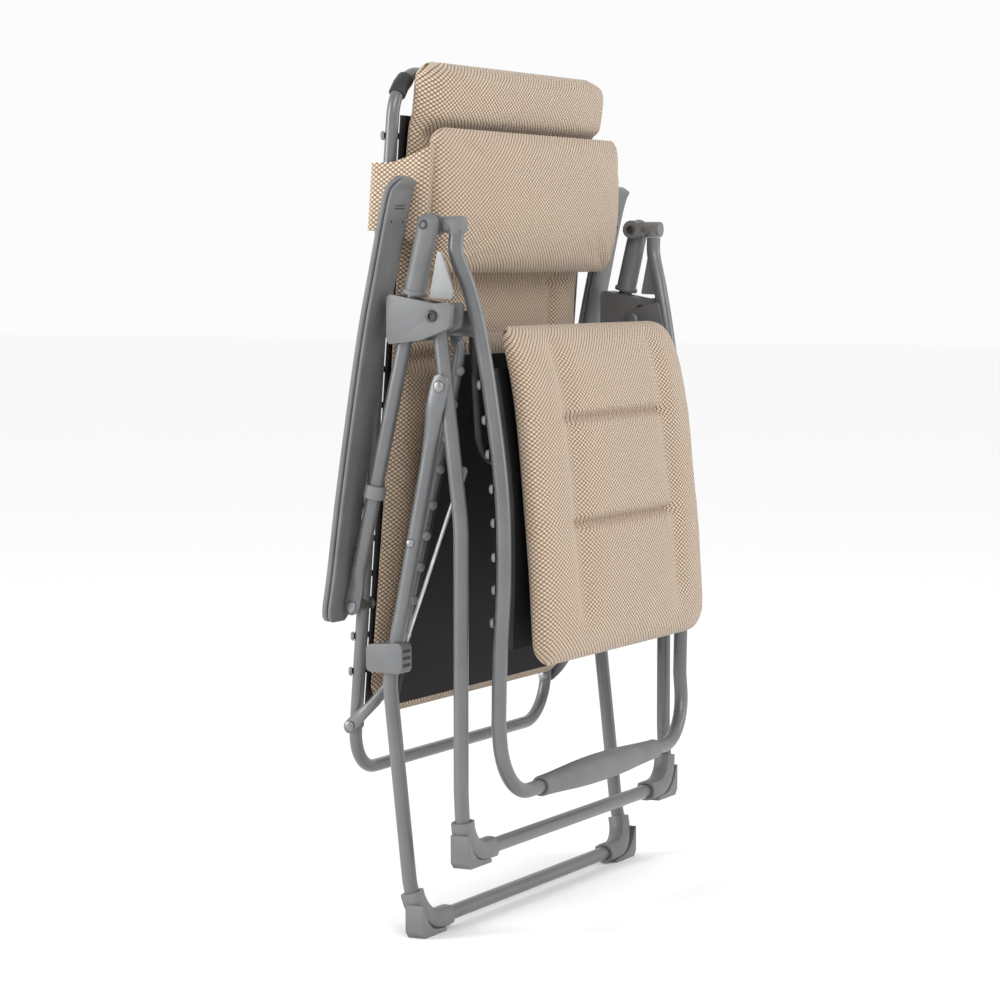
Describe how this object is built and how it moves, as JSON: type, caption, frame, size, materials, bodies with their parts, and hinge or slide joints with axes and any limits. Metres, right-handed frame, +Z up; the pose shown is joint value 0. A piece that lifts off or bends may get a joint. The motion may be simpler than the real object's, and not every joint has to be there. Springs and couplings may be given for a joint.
{
  "type": "zero gravity recliner",
  "caption": "Folding zero gravity recliner with a steel tube frame, padded seat, back and leg rest on laced slings, armrests and a headrest pillow.",
  "frame": {"origin": "under the middle of the folded chair's width and depth, at the rear foot's sole", "axes": "+Z up, the leg-rest pad faces -Y, +X to the right as seen from the front"},
  "size_m": [0.739, 0.2998, 1.1661],
  "materials": {
    "painted_steel": "satin",
    "grey_plastic": "matt",
    "zinc": "satin",
    "black_trim": "matt",
    "black_mesh": "woven",
    "sand_fabric": "woven"
  },
  "bodies": {
    "rear_leg": {"rear_leg_tube": "painted_steel", "rear_foot_cap_left": "grey_plastic", "rear_foot_cap_right": "grey_plastic", "leg_pivot_rivet_left": "zinc", "leg_pivot_rivet_right": "zinc", "stop_rivet_left": "zinc", "stop_rivet_right": "zinc"},
    "front_leg": {"front_leg_tube": "painted_steel", "front_foot_cap_left": "grey_plastic", "front_foot_cap_right": "grey_plastic"},
    "brace_rods": {"brace_rod_left": "zinc", "brace_rod_right": "zinc"},
    "slide_blocks": {"slide_block_left": "grey_plastic", "slide_block_right": "grey_plastic"},
    "brackets": {"arm_bracket_left": "grey_plastic", "arm_bracket_right": "grey_plastic", "clamp_insert_left": "black_trim", "clamp_insert_right": "black_trim", "bracket_bolt_left": "zinc", "bracket_bolt_right": "zinc"},
    "lock_lever_left": {"lock_lever_left": "grey_plastic"},
    "lock_lever_right": {"lock_lever_right": "grey_plastic"},
    "arms": {"arm_sleeve_left": "grey_plastic", "arm_sleeve_right": "grey_plastic", "arm_tube_left": "painted_steel", "arm_tube_right": "painted_steel", "armrest_top_left": "grey_plastic", "armrest_top_right": "grey_plastic", "armrest_base_left": "grey_plastic", "armrest_base_right": "grey_plastic", "arm_clip_left": "grey_plastic", "arm_clip_right": "grey_plastic"},
    "back": {"back_frame_tube": "painted_steel", "back_sling": "black_mesh", "back_pad": "sand_fabric", "back_pivot_rivet_left": "zinc", "back_pivot_rivet_right": "zinc", "top_corner_cap_left": "black_trim", "top_corner_cap_right": "black_trim"},
    "headrest": {"headrest_pillow": "sand_fabric"},
    "seat": {"seat_sling": "black_mesh", "seat_pad": "sand_fabric", "seat_tube_left": "painted_steel", "seat_tube_right": "painted_steel", "seat_pivot_rivet_left": "zinc", "seat_pivot_rivet_right": "zinc"},
    "legrest": {"legrest_frame_tube": "painted_steel", "foot_grip": "grey_plastic", "knee_brace": "black_trim", "legrest_sling": "black_mesh", "legrest_pad": "sand_fabric", "elbow_left": "grey_plastic", "elbow_right": "grey_plastic", "elbow_bolt_left": "zinc", "elbow_bolt_right": "zinc", "knee_plate_left": "painted_steel", "knee_plate_right": "painted_steel", "knee_bolt_left": "zinc", "knee_bolt_right": "zinc"}
  },
  "joints": [
    {"name": "legs_unfold", "type": "hinge", "parent": "rear_leg", "child": "front_leg", "pos_m": [0, -0.0186, 0.736], "axis": [-1, 0, 0], "range_deg": [0, 67]},
    {"name": "brace_rod_swing", "type": "hinge", "parent": "front_leg", "child": "brace_rods", "pos_m": [0, -0.0371, 0.624], "axis": [1, 0, 0], "range_deg": [0, 84]},
    {"name": "block_slide", "type": "slide", "parent": "rear_leg", "child": "slide_blocks", "axis": [0, -0.1958, 0.9806], "range_m": [0, 0.1249]},
    {"name": "bracket_tilt", "type": "hinge", "parent": "front_leg", "child": "brackets", "pos_m": [0, -0.0116, 0.828], "axis": [1, 0, 0], "range_deg": [0, 100.3]},
    {"name": "left_lock_lever_swing", "type": "hinge", "parent": "brackets", "child": "lock_lever_left", "pos_m": [0, -0.0301, 0.854], "axis": [1, 0, 0], "range_deg": [0, 40]},
    {"name": "right_lock_lever_swing", "type": "hinge", "parent": "brackets", "child": "lock_lever_right", "pos_m": [0, -0.0301, 0.854], "axis": [1, 0, 0], "range_deg": [0, 40]},
    {"name": "arm_slide", "type": "slide", "parent": "brackets", "child": "arms", "axis": [0, -0.2226, 0.9749], "range_m": [0, 0.15]},
    {"name": "back_recline", "type": "hinge", "parent": "arms", "child": "back", "pos_m": [0, 0.1189, 0.439], "axis": [-1, 0, 0], "range_deg": [0, 115]},
    {"name": "headrest_slide", "type": "slide", "parent": "back", "child": "headrest", "axis": [0, 0.0716, -0.9974], "range_m": [0, 0.08]},
    {"name": "seat_swing", "type": "hinge", "parent": "back", "child": "seat", "pos_m": [0, 0.1369, 0.274], "axis": [1, 0, 0], "range_deg": [0, 104.6]},
    {"name": "legrest_swing", "type": "hinge", "parent": "arms", "child": "legrest", "pos_m": [0, 0.0029, 0.947], "axis": [-1, 0, 0], "range_deg": [0, 135.6]}
  ],
  "couplings": [
    {"joint": "brace_rod_swing", "follows": "legs_unfold", "ratio": 1.2494},
    {"joint": "block_slide", "follows": "legs_unfold", "m_per_rad": 0.10655},
    {"joint": "bracket_tilt", "follows": "legs_unfold", "ratio": 1.4925},
    {"joint": "seat_swing", "follows": "back_recline", "ratio": 0.9074},
    {"joint": "legrest_swing", "follows": "back_recline", "ratio": 1.1772}
  ]
}
